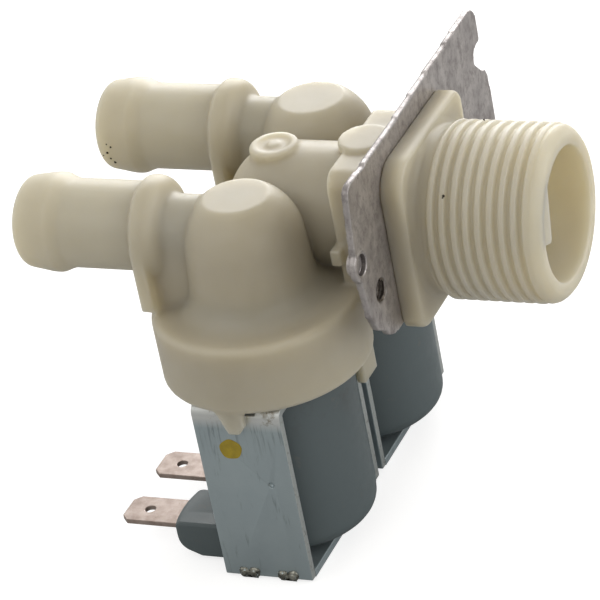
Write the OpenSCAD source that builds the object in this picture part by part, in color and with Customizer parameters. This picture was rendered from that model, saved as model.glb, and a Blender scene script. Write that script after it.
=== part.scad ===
/* [Inlet] */
// Crest diameter of the hose thread on the inlet
thread_od = 26.44; // [26.2:0.02:26.6]
// Distance from one thread crest to the next
thread_pitch = 1.814; // [1.7:0.002:1.9]
// Bore of the inlet
inlet_bore_d = 20; // [19:0.1:20.4]
// Mouth of the inlet, in front of the panel face
inlet_reach = 23; // [22.5:0.25:26]
// Side of the square front flange
flange_w = 26.6; // [26:0.1:27.6]
// Thickness of the front flange
flange_t = 2.8; // [2:0.1:3]

/* [Outlets] */
// Outer diameter of the hose tails
tail_d = 13.4; // [13:0.1:13.8]
// Diameter over the bulb that holds the hose
bulb_d = 15; // [14.4:0.1:15.2]
// Bore of the hose tails
tail_bore_d = 9.8; // [9.4:0.1:10.4]
// Tip of a hose tail, from the valve axes
tail_reach = 35; // [34:0.25:38]
// Height of the hose tails above the inlet axis
tail_rise = 3.7; // [3.4:0.1:4]

/* [Valves] */
// Distance between the two valve axes
valve_pitch = 29.7; // [29.4:0.1:31]
// Valve axes behind the panel face
set_back = 22; // [21.5:0.25:24]
// Wall of a valve cup around its cap
cup_wall = 2.6; // [2.4:0.05:2.9]
// Depth of the cup rim below the inlet axis
cup_low = 18.3; // [18:0.1:19]
// Height of the cup's upright wall
cup_h = 11; // [10.6:0.1:11.2]
// Radius of the domes over the valves
dome_r = 9; // [8.8:0.1:9.4]
// Flat top of a dome above the inlet axis
crown_top = 9.55; // [9.4:0.05:9.8]
// Travel of a plunger from closed to open
plunger_travel = 3; // [2.4:0.1:3.2]

/* [Solenoids] */
// Width of a yoke, along the inlet
yoke_w = 14.3; // [13.5:0.1:15]
// Thickness of the yoke sheet
yoke_t = 1.3; // [1.1:0.05:1.5]
// Gap between the two yokes
yoke_gap = 1.6; // [1.4:0.1:2]
// Height of a yoke over its base
yoke_h = 30.4; // [30.2:0.1:32]
// Clear space between a coil and its yoke sides
coil_play = 0.7; // [0.5:0.05:0.9]
// Width of a terminal blade
blade_w = 6.3; // [6:0.05:6.5]
// Thickness of a terminal blade
blade_t = 0.8; // [0.7:0.05:0.9]
// Distance between the two blades of a coil
blade_pitch = 12.4; // [12.2:0.1:13]
// Tip of a blade behind its valve axis
blade_reach = 26.25; // [25.5:0.25:27]

/* [Mounting plate] */
// Thickness of the mounting plate
plate_t = 1; // [0.8:0.05:1.4]
// Top edge of the plate above the inlet axis
plate_top = 16.4; // [16:0.1:17]
// Bottom of the plate's arms below the inlet axis
plate_low = 12; // [11.8:0.1:13]
// Near edge of the plate from the inlet axis
plate_near = 23.6; // [23.4:0.1:24.4]
// Far edge of the plate from the inlet axis
plate_far = 32.2; // [31.6:0.1:33]
// Bore of the tapped hole in the near arm
fixing_d = 3.5; // [3.2:0.1:3.8]

/* [Hidden] */
$fn = 64;

// Colours, as the photo shows them
cream = [0.84, 0.80, 0.69];
zinc = [0.62, 0.66, 0.68];
plate_zinc = [0.70, 0.69, 0.69];
slate = [0.33, 0.38, 0.38];
tinned = [0.72, 0.66, 0.60];
copper = [0.72, 0.42, 0.25];
black_rubber = [0.12, 0.12, 0.12];
white_plastic = [0.90, 0.90, 0.86];

// Half the distance between the valves
half_pitch = valve_pitch / 2;
// Small overlap that keeps cuts clean
eps = 0.02;
// Running gap around the plunger and the insert
run = 0.08;

// Inlet
bore_r = inlet_bore_d / 2;
root_r = thread_od / 2 - 1.16;
mouth_r = 11.5;
first_crest = 6.6;
lead_in = 1.8;
thread_crests = floor((inlet_reach - first_crest - lead_in) / thread_pitch) + 1;
neck_r = 12.4;
fillet_r = 1.6;
bore_end = 2;
cage_seat_r = 8.2;
cage_end = -3.4;
groove_w = 19.6;
rib_w = 22;
rib_t = 8.3;
manifold_r = 9.3;
manifold_bore_r = 6.6;
ledge_x = 6;

// Strainer and flow restrictor
bore_play = 0.05;
strainer_x = inlet_reach - 9;
strainer_rim = 2.4;
strainer_play = 2.4;
strainer_depth = strainer_x - bore_end - strainer_play;
strainer_wall = 1;
strainer_r = 7.2;
tab_reach = 2.1;
tab_t = 1.2;
tab_h = 6;
window_w = 2.2;
cage_wall = 1.3;
cage_floor = 1.5;
cage_hole_r = 3.2;
washer_hole_r = 2.2;
washer_t = 2.5;

// Outlets
neck_out_r = 5.05;
neck_bore_r = 3.7;
collar_r = 7.75;
collar_near = 11.2;
collar_far = 15.3;
collar_round = 2.7;
skirt_t = 2;
bulb_at = 29.65;
bulb_slope = 1.9;

// Valve cup and diaphragm, heights from the inlet axis
cup_web = 3.1;
cup_in_r = (valve_pitch - cup_web) / 2;
cup_r = cup_in_r + cup_wall;
cup_top = -cup_low + cup_h;
clamp_z = cup_top - 3.7;
seat_z = clamp_z + 2.5;
seat_r = 4.2;
seat_wall = 1.4;
ring_room_r = 10.4;
ring_top = cup_top + 3.4;
rubber_t = 1.2;
land_r = 6.6;
bead_in_r = ring_room_r - 0.15;
insert_t = 1.8;
stem_r = 2;
pilot_r = 0.6;
nozzle_h = 0.9;
stem_up = 2.2;
nozzle_r = 1.5;
insert_low = seat_z - rubber_t - insert_t;
nozzle_z = insert_low - nozzle_h;
tooth_w = 4;
tooth_tip_w = 1.7;
tooth_h = 3.7;
tooth_play = 0.1;
tongue_w = 5;
tongue_low = -cup_low - 12.2;

// Solenoid, heights from the inlet axis
yoke_half = (valve_pitch - yoke_gap) / 2;
yoke_top = -cup_low;
yoke_low = yoke_top - yoke_h + 0.2;
base_low = yoke_top - yoke_h;
bend_r = 1.6;
cover_r = yoke_half - yoke_t - coil_play;
cover_top = yoke_top - yoke_t - 0.2;
cover_low = base_low + yoke_t + 1.3;
cover_round = 2.6;
skin = 1.1;
spool_top = cover_top - skin;
spool_low = cover_low + 2;
spool_r = cover_r - 0.9;
wound_r = spool_r - bore_play;
spool_flange_t = 1.5;
tube_r = 5.4;
tube_in_r = tube_r - 0.7;
sleeve_r = 6.5;
hub_in_r = sleeve_r + 0.1;
hub_r = hub_in_r + 0.9;
plunger_r = tube_in_r - run;
tube_floor = spool_low - 0.2;
plunger_top = nozzle_z - 2.1;
plunger_low = tube_floor + plunger_travel + 3.2;
spring_pocket_r = 2.6;
spring_pocket = 6;
spring_r = 2.1;
spring_wire = 0.5;
spring_turns = 7;
seal_r = 2.1;
seal_depth = 2;
sleeve_len = 8;
blade_z = cover_low + 2.1;
boss_w = blade_w + 3;
boss_reach = blade_reach - 9.5;
boss_top = blade_z + 1.7;
boss_low = base_low + 0.4;
tab_w = 2.5;
tab_at = 3.15;

// Mounting plate
slot_w = groove_w + 0.3;
slot_r = 1.6;
corner_r = 2;
foot_r = 4.4;
foot_in = 8.6;
hole_y = 18.1;
hole_z = -3.2;
collar_t = 1.6;
button_y = plate_near - 0.9;
button_z = 3.8;
button_r = 1.7;
button_push = 0.8;

// Puts a piece at the front (-1) or the back (1) valve
module at_valve(side) {
    translate([-set_back, side * half_pitch, 0])
        children();
}

// Revolves a profile of [radius, x] points about the inlet axis
module turn_x(profile) {
    rotate([0, 90, 0])
        rotate_extrude()
            polygon(profile);
}

// Points on an arc from angle a to angle b
function arc(cx, cy, r, a, b, n = 8) =
    [for (i = [0:n]) [cx + r * cos(a + (b - a) * i / n), cy + r * sin(a + (b - a) * i / n)]];

// Flat outline w by h with round corners
module round_rect(w, h, r) {
    square([w - 2 * r, h], center = true);
    square([w, h - 2 * r], center = true);
    for (x = [-1, 1], y = [-1, 1])
        translate([x * (w / 2 - r), y * (h / 2 - r)])
            circle(r);
}

// Upright slab across the inlet from x to x + t, with its outline w in y and h in z
module slab(x, t, w, h, r) {
    translate([x, 0, 0])
        rotate([90, 0, 90])
            linear_extrude(t)
                round_rect(w, h, r);
}

// Inlet from the panel face to the mouth, with its ring thread
module inlet_outside() {
    slab(0, flange_t, flange_w, flange_w, 0.8);
    turn_x(concat([[0, flange_t], [neck_r + fillet_r - 0.7, flange_t]],
                  arc(neck_r + fillet_r, flange_t + fillet_r, fillet_r, 245, 180, 5),
                  [[neck_r, first_crest], [0, first_crest]]));
    turn_x(thread_profile());
}

// Thread of closed rings, its profile as [radius, x]
function thread_profile() = concat(
    [[0, 0], [neck_r, 0], [neck_r, first_crest - 0.9]],
    [for (i = [0:thread_crests - 1], p = [-0.62, -0.22, 0.22, 0.62])
        [abs(p) > 0.3 ? root_r : thread_od / 2, first_crest + i * thread_pitch + p * thread_pitch / 1.6 ]],
    [[root_r, inlet_reach - 1.3], [mouth_r, inlet_reach - 1], [mouth_r, inlet_reach - 0.5],
     [mouth_r - 0.5, inlet_reach], [0, inlet_reach]]);

// Manifold behind the plate, its closed end between the valves
function manifold_profile() = concat(
    [[0, -set_back - manifold_r + 1]],
    arc(0, -set_back + 1, manifold_r, -90, 0, 12),
    [[manifold_r, -rib_t], [0, -rib_t]]);

module manifold_outside() {
    turn_x(manifold_profile());
    // round boss on top
    translate([-set_back, 0, 0])
        rotate_extrude()
            polygon([[0, 4], [3.75, 4], [3.75, manifold_r + 0.4], [3.45, manifold_r + 0.7],
                     [2.7, manifold_r + 0.7], [2.4, manifold_r + 0.4], [0, manifold_r + 0.4]]);
    translate([-set_back, 0, manifold_r])
        cylinder(r = 0.9, h = 0.7);
    // block behind the plate, and the square neck that the plate slides over
    slab(-plate_t - rib_t, rib_t, rib_w, rib_w, 2.5);
    slab(-plate_t - eps, plate_t + 2 * eps, groove_w, groove_w, 1.5);
    // low round boss on the block
    translate([-plate_t - 6.2, 0, rib_w / 2 - 1])
        cylinder(r = 3.9, h = 1.6);
}

// Cup and dome over one valve, as [radius, z]
function dome_profile() = concat(
    [[0, -cup_low], [cup_r - 0.6, -cup_low], [cup_r, -cup_low + 0.6]],
    arc(cup_r - 1, cup_top - 1, 1, 0, 90, 5),
    arc(dome_r + 4.4, cup_top + 4, 4, 270, 180, 8),
    [[dome_r, 2.14]],
    arc(0, 2.14, dome_r, 0, asin((crown_top - 2.14) / dome_r), 8),
    [[0, crown_top]]);

// Hose tail, its profile as [radius, distance from the valve axis]
function tail_profile() = concat(
    [[0, 0], [neck_out_r, 0], [neck_out_r, collar_near - 0.8]],
    arc(neck_out_r + 0.8, collar_near - 0.8, 0.8, 180, 100, 4),
    arc(collar_r - collar_round, collar_near + collar_round, collar_round, -75, 0, 6),
    [[collar_r, collar_far - 0.8]],
    arc(collar_r - 0.5, collar_far - 0.8, 0.5, 0, 60, 3),
    [[tail_d / 2, collar_far], [tail_d / 2, bulb_at - 0.6 - bulb_slope]],
    [[bulb_d / 2 - 0.2, bulb_at - 0.9], [bulb_d / 2, bulb_at - 0.6], [bulb_d / 2, bulb_at + 0.6]],
    arc(bulb_d / 2 - 2, tail_reach - 1.6, 1.6, 25, 90, 5),
    [[0, tail_reach]]);

// Collar, neck and web of one outlet, about its own valve axis
module outlet_outside() {
    translate([0, 0, tail_rise])
        rotate([0, -90, 0])
            rotate_extrude()
                polygon(tail_profile());
    // the collar runs straight down to the cup
    translate([-collar_far + 0.1, -collar_r, cup_top + 0.6])
        cube([skirt_t, 2 * collar_r, tail_rise - cup_top - 0.6]);
    // web under the neck
    translate([-collar_far + 0.1 + skirt_t / 2, -neck_out_r, cup_top - 3])
        cube([collar_far - 0.1 - skirt_t / 2, 2 * neck_out_r, tail_rise - cup_top + 3]);
}

// Passages inside the body
module passages() {
    turn_x([[0, inlet_reach + 1], [bore_r + 0.4, inlet_reach + 1], [bore_r + 0.4, inlet_reach - 0.1],
            [bore_r, inlet_reach - 0.5], [bore_r, bore_end], [cage_seat_r, bore_end],
            [cage_seat_r, cage_end], [manifold_bore_r, cage_end], [manifold_bore_r, -set_back - 2],
            [0, -set_back - 5]]);
    for (side = [-1, 1])
        at_valve(side)
            valve_passages();
    // cross way to the two ring rooms
    translate([-set_back - 3.5, -half_pitch + seat_r + seat_wall, clamp_z + 1.5])
        cube([7, 2 * (half_pitch - seat_r - seat_wall), ring_top - clamp_z - 1.5]);
}

// Room for the diaphragm, the ring room around the seat, and the way out
module valve_passages() {
    difference() {
        rotate_extrude()
            polygon([[0, -cup_low - 1], [cup_in_r, -cup_low - 1], [cup_in_r, clamp_z],
                     [ring_room_r, clamp_z], [ring_room_r, cup_top - 1.3], [dome_r - 1.6, ring_top],
                     [0, ring_top]]);
        translate([0, 0, seat_z])
            cylinder(r = seat_r + seat_wall, h = 20);
    }
    translate([0, 0, seat_z - 1])
        cylinder(r = seat_r, h = tail_rise + neck_bore_r - seat_z + 1);
    translate([0, 0, tail_rise])
        rotate([0, -90, 0]) {
            cylinder(r = neck_bore_r, h = tail_reach);
            translate([0, 0, collar_near + 1.5])
                cylinder(r = tail_bore_d / 2, h = tail_reach - collar_near);
        }
}

// Wedge on the near wall of the mouth, straight on its face and stepped at its lower end
module mouth_ledge() {
    translate([inlet_reach - ledge_x, 0, 0])
        rotate([90, 0, 90])
            linear_extrude(ledge_x + 1)
                polygon([[-bore_r - 1, bore_r], [-0.5 * bore_r, bore_r], [-0.54 * bore_r, 0.88 * bore_r],
                         [-0.71 * bore_r, -0.04 * bore_r], [-bore_r - 1, 0.12 * bore_r]]);
}

// Tooth under the cup's rim, over the outside of the yoke
module tooth(side) {
    tip = tooth_tip_w / 2;
    translate([-set_back, side * (half_pitch + yoke_half + tooth_play), 0])
        rotate([90, 0, 0])
            linear_extrude(cup_r - yoke_half - tooth_play - 0.3)
                polygon([[-tooth_w / 2 - 0.3, 1 - cup_low], [-tooth_w / 2 - 0.3, -cup_low],
                         [-tip, -cup_low - tooth_h], [tip, -cup_low - tooth_h],
                         [tooth_w / 2, -cup_low - tooth_h * 0.6], [tooth_w / 2, 1 - cup_low]]);
}

module valve_body() {
    color(cream) {
        difference() {
            union() {
                inlet_outside();
                manifold_outside();
                for (side = [-1, 1])
                    at_valve(side) {
                        rotate_extrude()
                            polygon(dome_profile());
                        outlet_outside();
                    }
                // web between the two cups
                translate([-set_back - 8.6, -3, -cup_low])
                    cube([17.2, 6, cup_h - 0.6]);
                // tongue over the gap between the yokes
                translate([-set_back + yoke_w / 2 + tooth_play, -tongue_w / 2, tongue_low])
                    cube([1.5, tongue_w, cup_top - 0.6 - tongue_low]);
                // small lug on the near side of the block
                translate([-plate_t - rib_t - 0.6, -rib_w / 2 - 1.6, -3.3])
                    cube([1.6, 3, 2.7]);
            }
            difference() {
                passages();
                mouth_ledge();
            }
        }
        for (side = [-1, 1])
            mirror([0, side > 0 ? 1 : 0, 0])
                tooth(-1);
    }
}

// Outline of the plate, y across and z up
function plate_points() = concat(
    // near arm, from its foot up to the corner
    arc(-plate_near + foot_in, -plate_low + foot_r, foot_r, -90, -150, 5),
    [[-plate_near + 2.2, -plate_low + 4], [-plate_near + 0.6, -5], [-plate_near - 0.2, 0.4]],
    [[-plate_near - 0.7, 6.9], [-plate_near + 0.3, plate_top - 1.8]],
    arc(-plate_near + corner_r + 0.3, plate_top - corner_r + 0.1, corner_r, 175, 85, 6),
    // top edge, with the small steps that the shear left
    [[-plate_near + 7.6, plate_top - 0.3], [-plate_near + 7.8, plate_top], [-5, plate_top]],
    [[10, plate_top + 0.6], [10.3, plate_top + 0.8], [18.4, plate_top + 0.85], [18.7, plate_top + 1.05]],
    arc(plate_far - 3.9, plate_top - 1.4, 2.6, 88, 0, 6),
    // notch and lobe of the far edge
    arc(plate_far - 2.2, plate_top - 4.1, 1, 0, -90, 4),
    arc(plate_far - 2.9, 9.7, 1.6, 90, 180, 4),
    [[plate_far - 4.5, 8.8], [plate_far - 1.7, 6.3]],
    arc(plate_far - 2.8, 4.4, 2.5, 50, 5, 4),
    [[plate_far, 0], [plate_far - 0.1, -5]],
    arc(plate_far - 4.3, -plate_low + 4.2, 4.2, 0, -90, 6),
    // slot for the body's neck, open at the bottom
    [[slot_w / 2, -plate_low]],
    arc(slot_w / 2 - slot_r, slot_w / 2 - slot_r, slot_r, 0, 90, 4),
    arc(-slot_w / 2 + slot_r, slot_w / 2 - slot_r, slot_r, 90, 180, 4),
    [[-slot_w / 2, -plate_low]]);

module mounting_plate() {
    color(plate_zinc)
        difference() {
            union() {
                translate([-plate_t, 0, 0])
                    rotate([90, 0, 90])
                        linear_extrude(plate_t)
                            polygon(plate_points());
                // button pressed back out of the edge, and the collar of the tapped hole
                translate([-plate_t - button_push, -button_y, button_z])
                    rotate([0, 90, 0])
                        cylinder(r = button_r + 0.9, h = plate_t + button_push);
                translate([-plate_t - collar_t, -hole_y, hole_z])
                    rotate([0, 90, 0])
                        cylinder(r1 = fixing_d / 2 + 0.6, r2 = fixing_d / 2 + 1, h = collar_t + eps);
            }
            translate([-button_push, -button_y, button_z])
                rotate([0, 90, 0])
                    cylinder(r1 = button_r, r2 = button_r + 0.2, h = button_push + eps);
            translate([-plate_t - collar_t - 1, -hole_y, hole_z])
                rotate([0, 90, 0])
                    cylinder(d = fixing_d, h = plate_t + collar_t + 2);
        }
}

// Strainer basket with a pull tab, in the inlet bore
module inlet_filter() {
    r = bore_r - bore_play;
    deep = strainer_x - strainer_depth;
    color(white_plastic)
        difference() {
            union() {
                turn_x([[strainer_r, strainer_x], [r, strainer_x], [r, strainer_x - strainer_rim],
                        [strainer_r + 1.4 * strainer_wall, strainer_x - strainer_rim], [strainer_r, deep],
                        [0, deep - strainer_wall], [0, deep + strainer_wall / 5],
                        [strainer_r - strainer_wall, deep + strainer_wall],
                        [strainer_r, strainer_x - strainer_rim]]);
                translate([deep - strainer_wall / 2, -tab_t / 2, -tab_h / 2])
                    cube([strainer_depth + strainer_wall / 2 + tab_reach, tab_t, tab_h]);
            }
            // windows of the strainer
            for (a = [0:30:330])
                rotate([a, 0, 0])
                    translate([deep + 1.8 * strainer_wall, -window_w / 2, strainer_r - 2.2 * strainer_wall])
                        cube([strainer_depth / 2, window_w, 5 * strainer_wall]);
            for (a = [15:60:315])
                rotate([a, 0, 0])
                    translate([deep - 2.4 * strainer_wall, -window_w / 3, strainer_r / 2])
                        cube([5 * strainer_wall, window_w / 1.5, strainer_r / 4]);
        }
}

// Cage that holds the flow washer behind the strainer
module flow_cage() {
    r = cage_seat_r - bore_play;
    front = bore_end - 2 * bore_play;
    color(white_plastic)
        turn_x([[cage_hole_r, cage_end], [r, cage_end], [r, front], [r - cage_wall, front],
                [r - cage_wall, cage_end + cage_floor], [cage_hole_r, cage_end + cage_floor]]);
}

// Soft washer that narrows as the pressure rises
module flow_washer() {
    r = cage_seat_r - cage_wall - 2 * bore_play;
    low = cage_end + cage_floor;
    color(black_rubber)
        turn_x([[washer_hole_r, low], [r, low], [r, low + washer_t], [washer_hole_r + 0.6, low + washer_t]]);
}

// Bent frame around one coil
module yoke() {
    hole_r = tube_r + 0.1;
    color(zinc)
        difference() {
            union() {
                translate([-yoke_w / 2, 0, yoke_top])
                    rotate([90, 0, 90])
                        linear_extrude(yoke_w)
                            yoke_section();
            }
            translate([0, 0, yoke_top - yoke_t - 1])
                cylinder(r = hole_r, h = yoke_t + 2);
            for (side = [-1, 1]) {
                // notch in the bend beside the cup's tooth
                translate([-tooth_w / 2 - 0.4, side * (yoke_half - bend_r / 2) - bend_r / 2 - 0.2, yoke_top - 1.1])
                    cube([tooth_w + 1.6, bend_r + 0.4, 2]);
                // slots for the base's tabs
                for (x = [-tab_at, tab_at])
                    translate([x - tab_w / 2, side * (yoke_half - yoke_t / 2) - yoke_t, base_low - 1])
                        cube([tab_w, 2 * yoke_t, yoke_t + 1]);
                // punch mark
                translate([3.6, side * yoke_half, yoke_top - 13.2])
                    sphere(r = 0.45);
            }
        }
}

// Section of the bent frame, y across, z down from the top face
module yoke_section() {
    leg = yoke_top - yoke_low;
    in_r = bend_r - yoke_t;
    difference() {
        union() {
            translate([-yoke_half + bend_r, -leg])
                square([2 * (yoke_half - bend_r), leg]);
            translate([-yoke_half, -leg])
                square([2 * yoke_half, leg - bend_r]);
            for (s = [-1, 1])
                translate([s * (yoke_half - bend_r), -bend_r])
                    circle(bend_r);
        }
        translate([-yoke_half + yoke_t, -leg - 1])
            square([2 * (yoke_half - yoke_t), leg + 1 - bend_r]);
        translate([-yoke_half + yoke_t + in_r, -bend_r - 1])
            square([2 * (yoke_half - yoke_t - in_r), bend_r + 1 - yoke_t]);
        for (s = [-1, 1])
            translate([s * (yoke_half - bend_r), -bend_r])
                circle(in_r);
    }
}

// Plate staked across the bottom of a yoke
module yoke_base() {
    inner = yoke_half - yoke_t;
    color(zinc)
        difference() {
            union() {
                translate([-yoke_w / 2, -inner, base_low])
                    cube([yoke_w, 2 * inner, yoke_t]);
                for (x = [-tab_at, tab_at]) {
                    translate([x - tab_w / 2, -yoke_half - 0.15, base_low])
                        cube([tab_w, 2 * yoke_half + 0.3, yoke_t]);
                    // each tab end is split and peened into two heads
                    for (side = [-1, 1], d = [-0.75, 0.85])
                        translate([x + d, side * (yoke_half + 0.1), base_low + 0.75])
                            rotate([side > 0 ? -90 : 90, 0, 0])
                                cylinder(r1 = 0.75, r2 = 0.4, h = 0.35, $fn = 24);
                }
            }
            translate([0, 0, base_low - 1])
                cylinder(r = sleeve_r + bore_play, h = yoke_t + 2);
        }
}

// Moulding around the winding, with a boss for each blade
module coil_cover() {
    color(slate)
        difference() {
            union() {
                rotate_extrude()
                    polygon(concat(
                        [[hub_in_r, cover_top], [hub_in_r, cover_low], [cover_r - cover_round, cover_low]],
                        arc(cover_r - cover_round, cover_low + cover_round, cover_round, -90, 0, 8),
                        arc(cover_r - 0.6, cover_top - 0.6, 0.6, 0, 90, 4)));
                for (side = [-1, 1])
                    translate([0, side * blade_pitch / 2, 0])
                        terminal_boss();
            }
            // room of the spool and its winding
            translate([0, 0, spool_low])
                cylinder(r = spool_r, h = spool_top - spool_low);
            translate([0, 0, cover_low - 1])
                cylinder(r = hub_in_r, h = cover_top - cover_low + 2);
            for (side = [-1, 1])
                translate([0, side * blade_pitch / 2, 0])
                    blade_solid(0);
        }
}

// Boss around the root of one blade: a rounded block with a sloped lower front
module terminal_boss() {
    intersection() {
        translate([0, 0, boss_low])
            rotate_extrude()
                polygon(concat([[0, 0], [boss_reach - 3.4, 0]],
                               arc(boss_reach - 2.6, 3.2, 2.6, -62, 0, 5),
                               arc(boss_reach - 1, boss_top - boss_low - 1, 1, 0, 90, 4),
                               [[0, boss_top - boss_low]]));
        translate([-boss_reach - 1, -boss_w / 2, boss_low - 1])
            cube([boss_reach - yoke_w / 2 + 0.2, boss_w, boss_top - boss_low + 2]);
    }
}

// Spool, its two flanges inside the cover
module bobbin() {
    color(white_plastic)
        rotate_extrude()
            polygon([[hub_in_r, spool_low], [wound_r, spool_low], [wound_r, spool_low + spool_flange_t],
                     [hub_r, spool_low + spool_flange_t], [hub_r, spool_top - spool_flange_t],
                     [wound_r, spool_top - spool_flange_t], [wound_r, spool_top], [hub_in_r, spool_top]]);
}

module winding() {
    color(copper)
        rotate_extrude()
            polygon([[hub_r, spool_low + spool_flange_t], [wound_r, spool_low + spool_flange_t],
                     [wound_r, spool_top - spool_flange_t], [hub_r, spool_top - spool_flange_t]]);
}

// Rolled steel sleeve, pressed in the base, with its slit
module flux_sleeve() {
    color(zinc)
        difference() {
            translate([0, 0, base_low + 0.1])
                cylinder(r = sleeve_r, h = sleeve_len);
            translate([0, 0, base_low - 1])
                cylinder(r = tube_r + 0.1, h = sleeve_len + 3);
            translate([0, -0.4, base_low - 1])
                cube([sleeve_r + 1, 0.8, sleeve_len + 3]);
        }
}

// One blade along -x, with its hole; grow opens it into the slot that holds it
module blade_solid(hole_r) {
    tip = 1.1;
    w = blade_w / 2;
    translate([0, 0, blade_z - blade_t / 2])
        difference() {
            linear_extrude(blade_t)
                polygon([[-blade_reach, -w + tip], [-blade_reach + tip, -w], [-boss_reach + 2.6, -w],
                         [-boss_reach + 2.6, -1.2], [-spool_r + 1.2, -1.2], [-spool_r + 1.2, 1.2],
                         [-boss_reach + 2.6, 1.2], [-boss_reach + 2.6, w], [-blade_reach + tip, w],
                         [-blade_reach, w - tip]]);
            if (hole_r > 0)
                translate([-blade_reach + 3.8, 0, -1])
                    cylinder(r = hole_r, h = blade_t + 2, $fn = 32);
        }
}

module terminal(row) {
    color(tinned)
        translate([0, row * blade_pitch / 2, 0])
            blade_solid(0.85);
}

// Closed tube for the plunger, with the flange that clamps the diaphragm
module guide_tube() {
    clamp_low = clamp_z - rubber_t;
    color(white_plastic)
        rotate_extrude()
            polygon([[0, tube_floor - 1], [tube_r - 0.8, tube_floor - 1], [tube_r, tube_floor - 0.2],
                     [tube_r, -cup_low], [cup_in_r - 0.05, -cup_low], [cup_in_r - 0.05, clamp_low],
                     [ring_room_r, clamp_low], [ring_room_r, clamp_low - 4.6],
                     [tube_in_r + 0.6, clamp_low - 4.6], [tube_in_r, clamp_low - 5.2],
                     [tube_in_r, tube_floor], [0, tube_floor]]);
}

// Steel core with a seal at its nose and a pocket for the spring
module plunger() {
    color(zinc)
        rotate_extrude()
            polygon([[0, plunger_top - seal_depth], [seal_r, plunger_top - seal_depth], [seal_r, plunger_top],
                     [3.3, plunger_top], [3.3, plunger_top - 2.4], [plunger_r - 0.3, plunger_top - 2.4],
                     [plunger_r, plunger_top - 2.7], [plunger_r, plunger_low + 0.4],
                     [plunger_r - 0.4, plunger_low], [spring_pocket_r, plunger_low],
                     [spring_pocket_r, plunger_low + spring_pocket], [0, plunger_low + spring_pocket]]);
}

module plunger_seal() {
    color(black_rubber)
        rotate_extrude()
            polygon([[0, plunger_top - seal_depth], [seal_r, plunger_top - seal_depth], [seal_r, plunger_top],
                     [seal_r - 0.3, nozzle_z], [0, nozzle_z]]);
}

// Points of a ring of the spring's wire at turn t
function wire_ring(t, low, high) = [for (i = [0:5])
    let (a = 360 * t, b = 60 * i,
         r = spring_r + spring_wire / 2 * cos(b),
         z = low + (high - low) * t / spring_turns + spring_wire / 2 * sin(b))
    [r * cos(a), r * sin(a), z]];

// Coil spring between the tube's floor and the plunger's pocket
module spring() {
    low = tube_floor + spring_wire / 2;
    high = plunger_low + spring_pocket - spring_wire / 2;
    steps = spring_turns * 14;
    rings = [for (k = [0:steps]) wire_ring(k / 14, low, high)];
    points = [for (ring = rings, p = ring) p];
    sides = [for (k = [0:steps - 1], i = [0:5])
        [6 * k + i, 6 * k + (i + 1) % 6, 6 * (k + 1) + (i + 1) % 6, 6 * (k + 1) + i]];
    color(tinned)
        polyhedron(points, concat([[5, 4, 3, 2, 1, 0]], sides, [[for (i = [0:5]) 6 * steps + i]]));
}

// Rubber diaphragm, domed up to its seat as it is when closed
module diaphragm() {
    color(black_rubber)
        rotate_extrude()
            polygon([[stem_r, seat_z], [land_r, seat_z], [bead_in_r, clamp_z], [cup_in_r - 0.1, clamp_z],
                     [cup_in_r - 0.1, clamp_z - rubber_t], [bead_in_r - 0.3, clamp_z - rubber_t],
                     [land_r - 0.2, seat_z - rubber_t], [stem_r, seat_z - rubber_t]]);
}

// Stiff middle of the diaphragm, with the pilot hole through it
module insert() {
    color(white_plastic)
        rotate_extrude()
            polygon([[pilot_r, nozzle_z], [nozzle_r, nozzle_z], [nozzle_r + 0.3, insert_low], [land_r - 0.8, insert_low],
                     [land_r - 0.3, insert_low + 0.5], [land_r - 0.3, seat_z - rubber_t],
                     [stem_r, seat_z - rubber_t], [stem_r, seat_z + 1.2], [stem_r - 0.6, seat_z + stem_up],
                     [pilot_r, seat_z + stem_up]]);
}

module front_yoke() { at_valve(-1) yoke(); }
module front_yoke_base() { at_valve(-1) yoke_base(); }
module front_coil_cover() { at_valve(-1) coil_cover(); }
module front_bobbin() { at_valve(-1) bobbin(); }
module front_winding() { at_valve(-1) winding(); }
module front_flux_sleeve() { at_valve(-1) flux_sleeve(); }
module front_terminal_near() { at_valve(-1) terminal(-1); }
module front_terminal_far() { at_valve(-1) terminal(1); }
module front_guide_tube() { at_valve(-1) guide_tube(); }
module front_plunger() { at_valve(-1) plunger(); }
module front_plunger_seal() { at_valve(-1) plunger_seal(); }
module front_spring() { at_valve(-1) spring(); }
module front_diaphragm() { at_valve(-1) diaphragm(); }
module front_insert() { at_valve(-1) insert(); }
module back_yoke() { at_valve(1) yoke(); }
module back_yoke_base() { at_valve(1) yoke_base(); }
module back_coil_cover() { at_valve(1) coil_cover(); }
module back_bobbin() { at_valve(1) bobbin(); }
module back_winding() { at_valve(1) winding(); }
module back_flux_sleeve() { at_valve(1) flux_sleeve(); }
module back_terminal_near() { at_valve(1) terminal(-1); }
module back_terminal_far() { at_valve(1) terminal(1); }
module back_guide_tube() { at_valve(1) guide_tube(); }
module back_plunger() { at_valve(1) plunger(); }
module back_plunger_seal() { at_valve(1) plunger_seal(); }
module back_spring() { at_valve(1) spring(); }
module back_diaphragm() { at_valve(1) diaphragm(); }
module back_insert() { at_valve(1) insert(); }

valve_body();
mounting_plate();
inlet_filter();
flow_cage();
flow_washer();
front_yoke();
front_yoke_base();
front_coil_cover();
front_bobbin();
front_winding();
front_flux_sleeve();
front_terminal_near();
front_terminal_far();
front_guide_tube();
front_plunger();
front_plunger_seal();
front_spring();
front_diaphragm();
front_insert();
back_yoke();
back_yoke_base();
back_coil_cover();
back_bobbin();
back_winding();
back_flux_sleeve();
back_terminal_near();
back_terminal_far();
back_guide_tube();
back_plunger();
back_plunger_seal();
back_spring();
back_diaphragm();
back_insert();
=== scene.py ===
import math

import bmesh
import bpy
from mathutils import Matrix, Vector


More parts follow.
